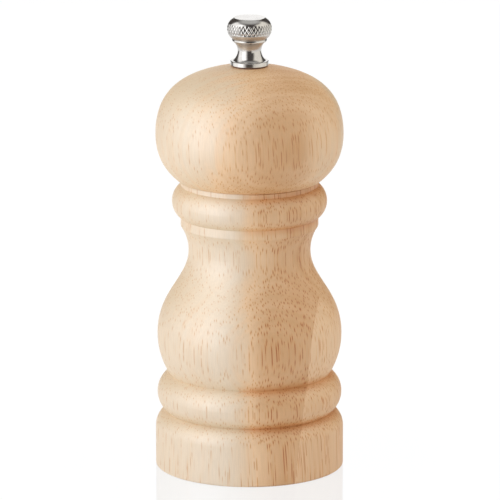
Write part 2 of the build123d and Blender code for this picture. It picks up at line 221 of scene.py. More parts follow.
even = mix(sky, soft_step(sky, away, *FRONT_TO_BACK), FRONT_LIGHT, BACK_LIGHT)
rays = add(sky, "ShaderNodeLightPath").outputs
mirrored = calc(sky, "MAXIMUM", rays["Is Glossy Ray"], rays["Is Transmission Ray"])
shown = mix(sky, mirrored, even, room)
shown = mix(sky, rays["Is Camera Ray"], shown, rgb(1, 1, 1))
backdrop = add(sky, "ShaderNodeBackground", {"Color": shown, "Strength": 1.0})
add(sky, "ShaderNodeOutputWorld", {"Surface": backdrop.outputs[0]})
print(f"even light: {FRONT_LIGHT[1]} of white from the front, {BACK_LIGHT[1]} from behind")

# %% [markdown]
# A softbox is an area lamp that faces the mill. It is placed as a photographer would say it: so many
# degrees to the side of the camera, so many up, and how far off. Its brightness is given against the
# white of the background, and the lamp's power follows from that and from its size. The key is cool
# and gives plain light only. Two sheen boxes, one high and one low, show only as gloss in the lacquer,
# so the highlights can be set apart from the light on the wood. A warm card at the right and a golden
# one at the left lighten the edges. The nut has its own painted room, so light linking keeps the key
# and the sheen boxes off it, as a photographer's black flag would.

# %% Lamps
LIT_POINT = Vector((0, 0, 0.07))
COOL = (0.96, 1.0, 1.08)
WARM = (1.0, 0.96, 0.88)
GOLDEN = (1.1, 0.95, 0.76)


def softbox(name, aside, up, distance, width, height, brightness, colour, sheen=False):
    """An area lamp aimed at the middle of the mill, with the angles in degrees."""
    aside, up = math.radians(aside), math.radians(up)
    way = Vector((math.sin(aside) * math.cos(up), -math.cos(aside) * math.cos(up), math.sin(up)))
    data = bpy.data.lights.new(name, "AREA")
    data.shape = "RECTANGLE"
    data.size = width
    data.size_y = height
    data.energy = brightness * math.pi * width * height
    data.color = colour
    lamp = bpy.data.objects.new(name, data)
    lamp.location = LIT_POINT + way * distance
    lamp.rotation_euler = way.to_track_quat("Z", "Y").to_euler()
    lamp.visible_camera = False
    lamp.visible_glossy = sheen
    lamp.visible_diffuse = not sheen
    scene.collection.objects.link(lamp)
    print(f"{name}: {data.energy:.1f} W")
    return lamp


flag = bpy.data.collections.new("kept_from_the_key")
key = softbox("key_softbox", -54, 8, 0.75, 0.46, 0.85, 2.05, COOL)
high = softbox("high_sheen", -60, 46, 0.75, 0.5, 0.5, 2.05, COOL, sheen=True)
low = softbox("low_sheen", -54, 4, 0.75, 0.5, 0.4, 2.4, COOL, sheen=True)
for lamp in (key, high, low):
    lamp.light_linking.receiver_collection = flag
softbox("right_card", 94, 54, 0.7, 0.7, 0.8, 0.76, WARM)
softbox("left_card", -98, 2, 0.7, 0.6, 0.8, 0.86, GOLDEN)

# %% [markdown]
# The floor is a plain pale sheet. For the camera most of it is plain white, and the rest takes the
# mill's soft shadow. Near the foot it also has a faint mirror image, as a glossy white board does; a
# mirror all over would show the painted room. Light that bounces off the sheet onto the wood sees an
# ordinary white surface. From below it is clear, so the foot can be looked at.


# %% New material
def new_material(name):
    """An empty material. Returns it and its tree of nodes."""
    material = bpy.data.materials.new(name)
    material.use_nodes = True
    material.node_tree.nodes.clear()
    return material, material.node_tree


paper, board = new_material("white_board")
print(f"{paper.name}: empty")

# %% Floor
FLOOR_ASIDE = 0.4
FLOOR_FRONT = -0.25
FLOOR_BACK = 2.5
BOARD_TONE = rgb(0.9, 0.9, 0.9)
BOARD_GLOW = 1.04
MIRROR_TONE = rgb(0.75, 0.8, 0.86)
MIRROR_ROUGHNESS = 0.08
MIRROR_SHARE = 0.2
MIRROR_REACH = (0.05, 0.10)
SHADOW_SHARE = 0.08

floor_mesh = bpy.data.meshes.new("floor")
corners = [
    (-FLOOR_ASIDE, FLOOR_FRONT, 0), (FLOOR_ASIDE, FLOOR_FRONT, 0),
    (FLOOR_ASIDE, FLOOR_BACK, 0), (-FLOOR_ASIDE, FLOOR_BACK, 0),
]
floor_mesh.from_pydata(corners, [], [(0, 1, 2, 3)])
floor_mesh.materials.append(paper)
floor = bpy.data.objects.new("floor", floor_mesh)
scene.collection.objects.link(floor)

matt = add(board, "ShaderNodeBsdfDiffuse", {"Color": BOARD_TONE})
glow = add(board, "ShaderNodeEmission", {"Color": rgb(1, 1, 1), "Strength": BOARD_GLOW})
mirror = add(board, "ShaderNodeBsdfGlossy", {"Color": MIRROR_TONE, "Roughness": MIRROR_ROUGHNESS})
clear = add(board, "ShaderNodeBsdfTransparent")
rays = add(board, "ShaderNodeLightPath").outputs
seen = calc(board, "MAXIMUM", rays["Is Camera Ray"], rays["Is Glossy Ray"])
white_part = calc(board, "MULTIPLY", seen, 1 - SHADOW_SHARE)
from_mill = vectors(board, "LENGTH", add(board, "ShaderNodeTexCoord").outputs["Object"])
gloss = soft_step(board, from_mill, *MIRROR_REACH, MIRROR_SHARE, 0.0)
gloss = calc(board, "MULTIPLY", gloss, rays["Is Camera Ray"])
below = add(board, "ShaderNodeNewGeometry").outputs["Backfacing"]
surface = matt
for share, layer in ((white_part, glow), (gloss, mirror), (below, clear)):
    surface = add(board, "ShaderNodeMixShader", {0: share, 1: surface.outputs[0], 2: layer.outputs[0]})
add(board, "ShaderNodeOutputMaterial", {"Surface": surface.outputs[0]})
print(f"floor {2 * FLOOR_ASIDE:.1f} m wide and {FLOOR_BACK - FLOOR_FRONT:.2f} m deep")

# %% [markdown]
# Rubberwood is pale, straight-grained and full of wide vessels that run up the trunk. Each vessel is
# a long tube: a turned surface cuts it along its length on the belly, where it shows as a fine dark
# line, and across on a slope, where it shows as a dot. Painting lines and dots would never agree at
# the edges. So the wood is a solid texture in the piece's own coordinates, and the shape of the mill
# cuts it. One node group, measured in millimetres, serves the body and the head. Its inputs say where
# in the log the piece lies and how clearly its vessels show.


# %% Node groups
def new_group(name, inputs, outputs):
    """A node group with named sockets. Returns its tree, its inputs and its outputs."""
    tree = bpy.data.node_groups.new(name, "ShaderNodeTree")
    for label, kind, value in inputs:
        socket = tree.interface.new_socket(label, in_out="INPUT", socket_type=kind)
        socket.default_value = value
    for label in outputs:
        tree.interface.new_socket(label, in_out="OUTPUT", socket_type="NodeSocketFloat")
    return tree, add(tree, "NodeGroupInput").outputs, add(tree, "NodeGroupOutput").inputs


def in_millimetres(tree):
    """The place on the piece in its own coordinates."""
    return vectors(tree, "SCALE", add(tree, "ShaderNodeTexCoord").outputs["Object"], scale=1 / MM)


wood, wood_in, wood_out = new_group(
    "wood_block",
    [
        ("Offset", "NodeSocketVector", (0, 0, 0)),
        ("Turn", "NodeSocketFloat", 0.0),
        ("Glue Place", "NodeSocketFloat", 40.0),
        ("Vessel Share", "NodeSocketFloat", 0.6),
        ("Vessel Strength", "NodeSocketFloat", 1.0),
        ("Pale Vessels", "NodeSocketFloat", 0.35),
        ("Heart And Shade Lean", "NodeSocketVector", (1, 0, 0)),
        ("Heart And Shade Place", "NodeSocketFloat", 0.0),
        ("Heart And Shade Reach", "NodeSocketFloat", 26.0),
        ("End Grain And Sheen", "NodeSocketFloat", 0.1),
    ],
    ["Tone", "Heart And Shade", "Vessels", "Sheaths", "Fibre", "Glue", "Height"],
)
spot = in_millimetres(wood)
up = split(wood, spot)["Z"]
about_axis = {"Vector": spot, "Angle": wood_in["Turn"]}
aligned = add(wood, "ShaderNodeVectorRotate", about_axis, rotation_type="Z_AXIS")
inside = vectors(wood, "ADD", aligned.outputs[0], wood_in["Offset"])
print(f"wood block: {len(wood.interface.items_tree)} sockets")


# %% Noise
def noise(tree, vector, detail, roughness=0.5, scale=1.0):
    """Soft noise around 0.5."""
    values = {"Vector": vector, "Scale": scale, "Detail": detail, "Roughness": roughness}
    return add(tree, "ShaderNodeTexNoise", values).outputs


def streaks(vector, stretched, detail, roughness=0.5):
    """Noise in the wood, drawn out along the grain by scaling each axis."""
    return noise(wood, vectors(wood, "MULTIPLY", vector, stretched), detail, roughness)


print("noise: soft patterns, drawn out along the grain")

# %% [markdown]
# The body is glued up from two boards, and the joint runs down its right side. The first board has a
# brown streak, partly heartwood and partly painted shade: it lies right of the middle, where the core
# shadow falls. A plane with soft sides makes the streak, and slow noise lets it drift to and fro as it
# climbs. The second board is a little paler low on the belly, and it comes from another place in the
# log, so its whole pattern is shifted.

# %% Two boards, and a brown streak of heartwood and painted shade
GLUE_LEAN = (1.0, -0.12, -0.106)
BOARD_EDGE = 0.1
GLUE_LINE = (0.05, 0.2)
HEART_AND_SHADE_DRIFT = 14.0
DRIFT_STRETCH = (0.1, 0.1, 0.016)
NEXT_BOARD_PALE = 41.0
NEXT_BOARD_REACH = (4.0, 18.0)
NEXT_BOARD_HEART_AND_SHADE = (0.58, 0.8)
NEXT_BOARD_SHIFT = (14, 37, 60)

past_glue = calc(wood, "SUBTRACT", vectors(wood, "DOT_PRODUCT", spot, GLUE_LEAN), wood_in["Glue Place"])
next_board = soft_step(wood, past_glue, -BOARD_EDGE, BOARD_EDGE)
glue_line = soft_step(wood, calc(wood, "ABSOLUTE", past_glue), *GLUE_LINE, 1.0, 0.0)

drift = calc(wood, "SUBTRACT", streaks(inside, DRIFT_STRETCH, 2.0)["Fac"], 0.5)
drift = calc(wood, "MULTIPLY", drift, HEART_AND_SHADE_DRIFT)
off_heart_and_shade = vectors(wood, "DOT_PRODUCT", spot, wood_in["Heart And Shade Lean"])
off_heart_and_shade = calc(wood, "ADD", calc(wood, "SUBTRACT", off_heart_and_shade, wood_in["Heart And Shade Place"]), drift)
heart_and_shade = soft_step(wood, calc(wood, "ABSOLUTE", off_heart_and_shade), wood_in["Heart And Shade Reach"], 0.0)

off_pale = calc(wood, "ABSOLUTE", calc(wood, "SUBTRACT", up, NEXT_BOARD_PALE))
next_heart_and_shade = soft_step(wood, off_pale, *NEXT_BOARD_REACH, *NEXT_BOARD_HEART_AND_SHADE)
change = calc(wood, "MULTIPLY", calc(wood, "SUBTRACT", next_heart_and_shade, heart_and_shade), next_board)
heart_and_shade = calc(wood, "ADD", heart_and_shade, change)
inside = vectors(wood, "ADD", inside, vectors(wood, "SCALE", NEXT_BOARD_SHIFT, scale=next_board))
print(f"heart streak drifts within {HEART_AND_SHADE_DRIFT / 2} mm")

# %% [markdown]
# No trunk is quite straight. The grain wanders sideways in long and in short waves, and it leans
# against the axis, so that a vessel comes to the surface for only a few millimetres. Growth bands are
# noise in the distance from the pith, which lies well outside the mill, and broad clouds lie over them.

# %% Grain and growth bands
WANDERS = (((0.055, 0.055, 0.022), 1.4), ((0.3, 0.3, 0.06), 0.8))
GRAIN_LEAN = (0.03, 0.07, 0.0)
PITH = (-24.0, 86.0, 0.0)
BAND_CLIMB = 0.06
BAND_WIDTH = 2.8
BROAD_STRETCH = (0.05, 0.05, 0.012)

grain = inside
for waves, width in WANDERS:
    sideways = vectors(wood, "SUBTRACT", streaks(inside, waves, 1.0)["Color"], (0.5, 0.5, 0.5))
    grain = vectors(wood, "ADD", grain, vectors(wood, "MULTIPLY", sideways, (width, width, 0.0)))
grain = vectors(wood, "ADD", grain, vectors(wood, "SCALE", GRAIN_LEAN, scale=up))
from_pith = vectors(wood, "SUBTRACT", grain, PITH)
from_pith = vectors(wood, "MULTIPLY", from_pith, (1.0, 1.0, BAND_CLIMB))
years = vectors(wood, "LENGTH", from_pith)
rings = {"W": years, "Scale": 1 / BAND_WIDTH, "Detail": 2.0, "Roughness": 0.6}
band = add(wood, "ShaderNodeTexNoise", rings, noise_dimensions="1D").outputs["Fac"]
broad = streaks(grain, BROAD_STRETCH, 1.0)["Fac"]
print(f"growth bands about {BAND_WIDTH} mm wide")

# %% [markdown]
# The vessels are round cells of a two-dimensional pattern, laid out around the pith, so each goes on
# up the trunk as a tube, with a sheath of darker fibres around it. Chance leaves some cells out, more
# of them between the growth bands and away from the brown streak, and a noise of its own breaks each
# tube into lengths.

# %% Vessels
VESSEL_SPACING = (0.58, 1.1)
VESSEL_RADIUS = (0.07, 0.12)
PITH_DISTANCE = 95.0
TUBE_CORE = 0.55
SHEATH_REACH = 2.4
BAND_VESSELS = (0.32, 0.6, 0.5, 1.1)
HEART_VESSELS = (0.1, 0.9, 0.6, 1.6)
STRONG_HEART = (0.3, 1.0)
CHANCE_EDGE = 0.06
TUBE_APART = (91.0, 57.0)
BREAKS_PER_MM = 0.27
BREAK_EDGE = (0.34, 0.46)

out = split(wood, from_pith)
round_pith = calc(wood, "MULTIPLY", calc(wood, "ARCTAN2", out["X"], out["Y"]), PITH_DISTANCE)
log_spot = add(wood, "ShaderNodeCombineXYZ", {"X": round_pith, "Y": years}).outputs[0]
log_spot = vectors(wood, "MULTIPLY", log_spot, (1 / VESSEL_SPACING[0], 1 / VESSEL_SPACING[1], 1.0))
layout = {"Vector": log_spot, "Scale": 1.0}
cells = add(wood, "ShaderNodeTexVoronoi", layout, voronoi_dimensions="2D").outputs
chance = add(wood, "ShaderNodeSeparateColor", {0: cells["Color"]}).outputs
thin, wide = (radius / VESSEL_SPACING[0] for radius in VESSEL_RADIUS)
size = soft_step(wood, chance["Green"], 0.0, 1.0, thin, wide)
core = calc(wood, "MULTIPLY", size, TUBE_CORE)
tube = soft_step(wood, cells["Distance"], core, size, 1.0, 0.0)
sheath = soft_step(wood, cells["Distance"], core, calc(wood, "MULTIPLY", size, SHEATH_REACH), 1.0, 0.0)

share = calc(wood, "MULTIPLY", soft_step(wood, band, *BAND_VESSELS), wood_in["Vessel Share"])
share = calc(wood, "MULTIPLY", share, soft_step(wood, heart_and_shade, *HEART_VESSELS))
open_here = soft_step(wood, calc(wood, "SUBTRACT", share, chance["Red"]), -CHANCE_EDGE, CHANCE_EDGE)
own_noise = {
    "X": calc(wood, "MULTIPLY", chance["Red"], TUBE_APART[0]),
    "Y": calc(wood, "MULTIPLY", chance["Blue"], TUBE_APART[1]),
    "Z": calc(wood, "MULTIPLY", split(wood, inside)["Z"], BREAKS_PER_MM),
}
own_noise = noise(wood, add(wood, "ShaderNodeCombineXYZ", own_noise).outputs[0], 1.0)["Fac"]
strong = soft_step(wood, heart_and_shade, *STRONG_HEART, wood_in["Pale Vessels"], 1.0)
for factor in (soft_step(wood, own_noise, *BREAK_EDGE), open_here, wood_in["Vessel Strength"]):
    strong = calc(wood, "MULTIPLY", strong, factor)
vessels = calc(wood, "MULTIPLY", tube, strong)
sheaths = calc(wood, "MULTIPLY", sheath, strong)
print(f"vessels every {VESSEL_SPACING[0]} mm, up to {2 * VESSEL_RADIUS[1]:.2f} mm wide")

# %% [markdown]
# What the group puts out are masks and one tone. The tone adds up the brown streak, which is partly
# painted shade, the bands and the clouds, and a shift that is found by how far the surface faces up or
# down. A positive shift would be end grain; the head's is negative, a painted sheen that makes its top
# and underside paler. Height is for the bump: fibres stand up a little, and vessels are sunk.

# %% Tone and relief
FIBRE_STRETCH = (2.6, 2.6, 0.09)
FIBRE_RELIEF = 0.12
BASE_TONE = 0.03
HEART_AND_SHADE_TONE = 0.8
BAND_TONE = 0.06
BROAD_TONE = 0.09
END_GRAIN_AND_SHEEN_FACING = (0.35, 0.95)


def facing_up(tree):
    """The upright part of the surface's normal."""
    return split(tree, add(tree, "ShaderNodeNewGeometry").outputs["Normal"])["Z"]


fibre = streaks(grain, FIBRE_STRETCH, 3.0, 0.6)["Fac"]
end_grain_and_sheen = soft_step(wood, calc(wood, "ABSOLUTE", facing_up(wood)), *END_GRAIN_AND_SHEEN_FACING)
# The brown streak darkens the tone: partly heartwood, partly painted shade, the core shadow right of the
# middle.
tone = calc(wood, "ADD", calc(wood, "MULTIPLY", heart_and_shade, HEART_AND_SHADE_TONE), BASE_TONE)
for part in (
    soft_step(wood, band, 0.25, 0.75, -BAND_TONE, BAND_TONE),
    soft_step(wood, broad, 0.25, 0.75, -BROAD_TONE, BROAD_TONE),
    calc(wood, "MULTIPLY", end_grain_and_sheen, wood_in["End Grain And Sheen"]),
):
    tone = calc(wood, "ADD", tone, part)
relief = calc(wood, "SUBTRACT", calc(wood, "MULTIPLY", fibre, FIBRE_RELIEF), vessels)
for socket, value in zip(wood_out, (tone, heart_and_shade, vessels, sheaths, fibre, glue_line, relief)):
    fill(wood, socket, value)
print(f"wood block: {len(wood.nodes)} nodes")

# %% [markdown]
# Body and head are turned from two lengths of the same timber and sprayed with a satin lacquer, so
# they share one recipe and differ in where they lie in the log. A ramp turns the tone into colour, from
# cream through tan to brown. Thin tints are multiplied on top: sheaths, vessels, the glue joint, painted
# shade in the turned grooves where the wood is brown, with some lacquer pooled there, and a touch of
# yellow on slopes of pale wood, partly end grain and partly painted shade. The lacquer is the shader's
# coat: a clear layer over duller wood. Satin shows less gloss at a grazing angle than a clear varnish
# does, so Layer Weight lowers the coat there. The vessels are sunk a few thousandths of a millimetre.

# %% Tones and tints
WOOD_TONES = [
    (0.0, rgb(0.762, 0.632, 0.478)), (0.2, rgb(0.76, 0.59, 0.412)),
    (0.45, rgb(0.815, 0.556, 0.325)), (1.0, rgb(0.60, 0.318, 0.122)),
]
VESSEL_TINT = rgb(0.66, 0.34, 0.09)
SHEATH_TINT = rgb(0.91, 0.73, 0.48)
GROOVE_SHADE_TINT = rgb(0.93, 0.74, 0.55)
END_GRAIN_AND_SHADE_TINT = rgb(1.0, 0.975, 0.915)
UNTINTED = rgb(1, 1, 1)
GLUE_SHARE = 0.05
GROOVE_HEIGHTS = (17.35, 29.05, 78.0, 87.9)
GROOVE_REACH = 2.2
GROOVE_SHADE_HEART = (0.1, 0.8, 0.0, 0.8)
END_GRAIN_AND_SHADE_TURN = (0.2, 0.7)
END_GRAIN_AND_SHADE_HEART = (0.1, 0.8, 1.0, 0.2)
FIBRE_SHADE = (0.3, 0.7, 0.96, 1.03)
FIBRE_ROUGHNESS = (0.2, 0.8, 0.42, 0.52)
SATIN_TURN = (0.25, 0.8)
SATIN_GLOSS = (1.0, 0.3)
VESSEL_DEPTH = 0.006 * MM
print(f"{len(WOOD_TONES)} tones of wood, stain in {len(GROOVE_HEIGHTS)} grooves")


# %% Building a material
def principled(tree, sockets):
    """Ends a tree of nodes with the Principled shader."""
    shader = add(tree, "ShaderNodeBsdfPrincipled", sockets)
    add(tree, "ShaderNodeOutputMaterial", {"Surface": shader.outputs[0]})


def place(tree, group, values):
    """Puts a group into a tree with its own values, and returns its outputs."""
    return add(tree, "ShaderNodeGroup", values, node_tree=group).outputs


def groove_shade_and_stain(tree):
    """A mask of painted shade, with some pooled lacquer, that is 1 at the bottom of each turned groove."""
    up = split(tree, add(tree, "ShaderNodeTexCoord").outputs["Object"])["Z"]
    shade_and_stain = 0.0
    for height in GROOVE_HEIGHTS:
        off = calc(tree, "ABSOLUTE", calc(tree, "SUBTRACT", up, height * MM))
        shade_and_stain = calc(tree, "MAXIMUM", shade_and_stain, soft_step(tree, off, 0.0, GROOVE_REACH * MM, 1.0, 0.0))
    return shade_and_stain


# %% Lacquered wood
def lacquered_wood(name, timber):
    """The lacquered wood of one turned block, with the timber's values for the wood block."""
    material, tree = new_material(name)
    block = place(tree, wood, timber)
    colour = ramp(tree, block["Tone"], WOOD_TONES)
    colour = vectors(tree, "SCALE", colour, scale=soft_step(tree, block["Fibre"], *FIBRE_SHADE))
    # Painted shade in the turned grooves, stronger where the wood is brown; some of it is pooled lacquer.
    shade_and_stain = calc(tree, "MULTIPLY", groove_shade_and_stain(tree), soft_step(tree, block["Heart And Shade"], *GROOVE_SHADE_HEART))
    # A yellow tint on slopes of pale wood, partly end grain and partly painted shade.
    end = soft_step(tree, calc(tree, "ABSOLUTE", facing_up(tree)), *END_GRAIN_AND_SHADE_TURN)
    end = calc(tree, "MULTIPLY", end, soft_step(tree, block["Heart And Shade"], *END_GRAIN_AND_SHADE_HEART))
    glue = calc(tree, "MULTIPLY", block["Glue"], GLUE_SHARE)
    tints = [
        (block["Sheaths"], SHEATH_TINT), (block["Vessels"], VESSEL_TINT), (glue, VESSEL_TINT),
        (shade_and_stain, GROOVE_SHADE_TINT), (end, END_GRAIN_AND_SHADE_TINT),
    ]
    for share, tint in tints:
        colour = vectors(tree, "MULTIPLY", colour, mix(tree, share, UNTINTED, tint))
    grazing = add(tree, "ShaderNodeLayerWeight", {"Blend": 0.5}).outputs["Facing"]
    sunk = {"Height": block["Height"], "Distance": VESSEL_DEPTH, "Strength": 1.0}
    principled(tree, {
        "Base Color": colour,
        "Roughness": soft_step(tree, block["Fibre"], *FIBRE_ROUGHNESS),
        "Normal": add(tree, "ShaderNodeBump", sunk).outputs[0],
        "Coat Weight": soft_step(tree, grazing, *SATIN_TURN, *SATIN_GLOSS),
        "Specular IOR Level": 0.15,
        "Coat Roughness": 0.5,
        "Coat IOR": 1.7,
    })
    return material


def dress(node, material):
    """Gives a CAD node its finish."""
    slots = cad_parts[node].data.materials
    slots.clear()
    slots.append(material)
    print(f"{node}: {material.name}")


# %% Body and head
BODY_TIMBER = {
    "Offset": (0, 0, 0), "Turn": 0.0, "Glue Place": 16.7, "End Grain And Sheen": 0.0,
    "Vessel Share": 1.08, "Vessel Strength": 1.15, "Pale Vessels": 0.4,
    "Heart And Shade Lean": (1, -0.08, -0.01), "Heart And Shade Place": 15.2, "Heart And Shade Reach": 25.5,
}
# The head's negative end grain value makes its top and underside paler: a painted sheen.
HEAD_TIMBER = {
    "Offset": (31, 12, 140), "Turn": math.radians(14), "Glue Place": 90.0, "End Grain And Sheen": -0.12,
    "Vessel Share": 0.9, "Vessel Strength": 0.66, "Pale Vessels": 0.65,
    "Heart And Shade Lean": (1, 0.2, -0.15), "Heart And Shade Place": -11.3, "Heart And Shade Reach": 33.5,
}
dress("mill_body", lacquered_wood("lacquered_wood_body", BODY_TIMBER))
dress("head", lacquered_wood("lacquered_wood_head", HEAD_TIMBER))

# %% [markdown]
# Metal pieces are never quite even: a lathe leaves fine rings, drawing leaves lines along the bar, and
# handling leaves hairline scratches. One node group makes such marks from stretched noise. It reads
# the distance from the axis and the height, so rings follow the turning. Each metal sets how far the
# marks are stretched, and uses them for its roughness and a very shallow bump.

# %% Marks of the tool
marks, marks_in, marks_out = new_group(
    "tool_marks",
    [
        ("Across", "NodeSocketFloat", 9.0),
        ("Along", "NodeSocketFloat", 0.4),
        ("Cloud Size", "NodeSocketFloat", 0.35),
    ],
    ["Marks", "Clouds"],
)
spot = in_millimetres(marks)
parts = split(marks, spot)
radius = vectors(marks, "LENGTH", vectors(marks, "MULTIPLY", spot, (1.0, 1.0, 0.0)))
angle = calc(marks, "ARCTAN2", parts["Y"], parts["X"])
rings = {
    "X": calc(marks, "MULTIPLY", radius, marks_in["Across"]),
    "Y": calc(marks, "MULTIPLY", angle, marks_in["Along"]),
    "Z": calc(marks, "MULTIPLY", parts["Z"], marks_in["Across"]),
}
rings = add(marks, "ShaderNodeCombineXYZ", rings).outputs[0]
fill(marks, marks_out["Marks"], noise(marks, rings, 3.0, 0.65)["Fac"])
fill(marks, marks_out["Clouds"], noise(marks, spot, 3.0, 0.55, marks_in["Cloud Size"])["Fac"])
print(f"tool marks: {len(marks.nodes)} nodes")

# %% [markdown]
# The grinding set is hardened and blackened, sheet and screws are zinc plated, and the spring, clip
# and spindle are drawn steel. All are bare metal to the shader: two tones in clouds and a range of
# roughness. Two extras are for the nut: its grooves are darker, partly grease and partly painted shade,
# and its undersides are rougher, which the polishing wheel doesn't reach.

# %% Metals
GRIME_AND_SHADE = rgb(0.10, 0.097, 0.095)
UNDERSIDE = (0.0, -0.5)


def metal(name, light, dark, rough, across=9.0, along=0.4, cloud=0.35, depth=0.004, grooves=None,
          under=0.0):
    """A bare or plated metal: two tones, a range of roughness, and marks so many millimetres deep."""
    material, tree = new_material(name)
    worn = place(tree, marks, {"Across": across, "Along": along, "Cloud Size": cloud})
    colour = mix(tree, soft_step(tree, worn["Clouds"], 0.3, 0.7), light, dark)
    # Darker in the knurl's grooves: grease, and painted shade.
    if grooves:
        colour = mix(tree, grooves(tree), colour, GRIME_AND_SHADE)
    roughness = soft_step(tree, worn["Marks"], 0.25, 0.75, *rough)
    if under:
        below = soft_step(tree, facing_up(tree), *UNDERSIDE, 0.0, under)
        roughness = calc(tree, "ADD", roughness, below)
    scratches = {"Height": worn["Marks"], "Distance": depth * MM, "Strength": 1.0}
    bump = add(tree, "ShaderNodeBump", scratches).outputs[0]
    principled(tree, {"Base Color": colour, "Metallic": 1.0, "Roughness": roughness, "Normal": bump})
    return material


blackened = metal("blackened_steel", rgb(0.16, 0.155, 0.15), rgb(0.07, 0.07, 0.072), (0.3, 0.48), 5, 2, 0.8)
zinc = metal("zinc_plate", rgb(0.66, 0.66, 0.64), rgb(0.52, 0.53, 0.53), (0.24, 0.4), 6, 3, 1.1)
drawn = metal("drawn_steel", rgb(0.52, 0.52, 0.51), rgb(0.42, 0.41, 0.40), (0.2, 0.36), 14, 0.6, 0.6)
bar = metal("bar_steel", rgb(0.60, 0.60, 0.585), rgb(0.50, 0.49, 0.47), (0.22, 0.4), 8, 5, 0.3)

for node in ("grinding_ring", "grinding_cone"):
    dress(node, blackened)
for node in ("retaining_plate", "retaining_screws", "bridge", "bridge_rivets", "thrust_washer",
             "spring_seat", "cone_washer", "cone_nut", "drive_plate", "drive_plate_screws"):
    dress(node, zinc)
dress("spindle_clip", drawn)

# %% [markdown]
# Two small pieces are not metal. The bush in the bridge is moulded nylon, and the washer under the nut
# is vulcanised fibre, which is pressed from paper and shows it.


# %% Nylon and fibre
def moulded(name, light, dark, speck, rough, depth):
    """A dull moulded or pressed material with specks of the given size."""
    material, tree = new_material(name)
    worn = place(tree, marks, {"Across": 1 / speck, "Along": 3.0, "Cloud Size": 0.5 / speck})
    colour = mix(tree, soft_step(tree, worn["Clouds"], 0.35, 0.65), light, dark)
    roughness = soft_step(tree, worn["Marks"], 0.2, 0.8, *rough)
    specks = {"Height": worn["Clouds"], "Distance": depth * MM, "Strength": 1.0}
    bump = add(tree, "ShaderNodeBump", specks).outputs[0]
    principled(tree, {"Base Color": colour, "Roughness": roughness, "Normal": bump})
    return material


nylon = moulded("white_nylon", rgb(0.80, 0.78, 0.72), rgb(0.73, 0.70, 0.63), 0.6, (0.38, 0.5), 0.01)
fibre_board = moulded("red_fibre", rgb(0.17, 0.06, 0.03), rgb(0.10, 0.033, 0.018), 0.25, (0.5, 0.7), 0.02)
dress("bridge_bush", nylon)
dress("nut_washer", fibre_board)

# %% [markdown]
# Three pieces need a finer mesh than the solids have: the nut, the spindle and the spring. Each is a
# row of rings of points, skinned with faces. Modifiers could do some of it, but then each piece would
# need its own set, and the rings give every point its exact place.


# %% Rings and skins
def polar(radius, angle, z):
    """A point in metres from a radius, an angle and a height in millimetres."""
    return (radius * MM * math.cos(angle), radius * MM * math.sin(angle), z * MM)


def skin(made, rings, closed=False):
    """Joins rings of points with faces. The ends are capped, unless the last ring joins the first."""
    following = rings[1:] + rings[:1] if closed else rings[1:]
    for low, high in zip(rings, following):
        for column in range(len(low)):
            after = (column + 1) % len(low)
            corners = list(dict.fromkeys([low[column], low[after], high[after], high[column]]))
            if len(corners) > 2:
                made.faces.new(corners)
    if not closed:
        made.faces.new(rings[0])
        made.faces.new(rings[-1])


def finished(name, made, sharp=35):
    """Turns a bmesh into an object with smooth shading that stays sharp at hard edges."""
    bmesh.ops.recalc_face_normals(made, faces=made.faces)
    mesh = bpy.data.meshes.new(name)
    made.to_mesh(mesh)
    made.free()
    mesh.shade_smooth()
    mesh.set_sharp_from_angle(angle=math.radians(sharp))
    piece = bpy.data.objects.new(name, mesh)
    scene.collection.objects.link(piece)
    print(f"{name}: {len(mesh.polygons)} faces")
    return piece


def arc(start, middle, end, steps):
    """Points of an arc through three points, both ends included."""
    (ax, ay), (bx, by), (cx, cy) = start, middle, end
    twice = 2 * (ax * (by - cy) + bx * (cy - ay) + cx * (ay - by))
    a, b, c = ax * ax + ay * ay, bx * bx + by * by, cx * cx + cy * cy
    ox = (a * (by - cy) + b * (cy - ay) + c * (ay - by)) / twice
    oy = (a * (cx - bx) + b * (ax - cx) + c * (bx - ax)) / twice
    radius = math.hypot(ax - ox, ay - oy)
    first, via, last = (math.atan2(y - oy, x - ox) for x, y in (start, middle, end))
    sweep = (last - first) % math.tau
    if (via - first) % math.tau > sweep:
        sweep -= math.tau
    turns = [first + sweep * step / steps for step in range(steps + 1)]
    return [(ox + radius * math.cos(turn), oy + radius * math.sin(turn)) for turn in turns]


# %% [markdown]
# The nut on top is the mill's jewel: a flange, a slim waist, a rounded rim and a ball with a band of
# diamond knurling that the fingers hold. It is a turned piece, so an outline is spun about Z. The
# knurl is two sets of slanting grooves that cross, and each pressed groove lowers the surface, so the
# points of the mesh are moved in by the deeper of the two. That gives real diamonds with real edges.

# %% Nut outline
nut_low, nut_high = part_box("adjusting_nut")
NUT_FOOT = nut_low.z / MM
NUT_TOP = nut_high.z / MM
FLANGE_RADIUS = 5.8
FLANGE_TOP = NUT_FOOT + 1.4
WAIST_FOOT_RADIUS = 4.95
WAIST_RADIUS = 3.6
WAIST_MIDDLE = FLANGE_TOP + 2.75
WAIST_TOP_RADIUS = 4.75
WAIST_TOP = FLANGE_TOP + 5.8
RIM_RADII = (4.95, 5.3, 5.1)
RIM_TOP = WAIST_TOP + 0.95
BALL_RADII = (5.3, 6.8, 4.85)
BALL_MIDDLE = RIM_TOP + 3.15
BALL_GAP = 0.05
DISC_RADIUS = 2.4
EDGE = 0.15
BORE = 2.55
BORE_END = NUT_TOP - 2.0


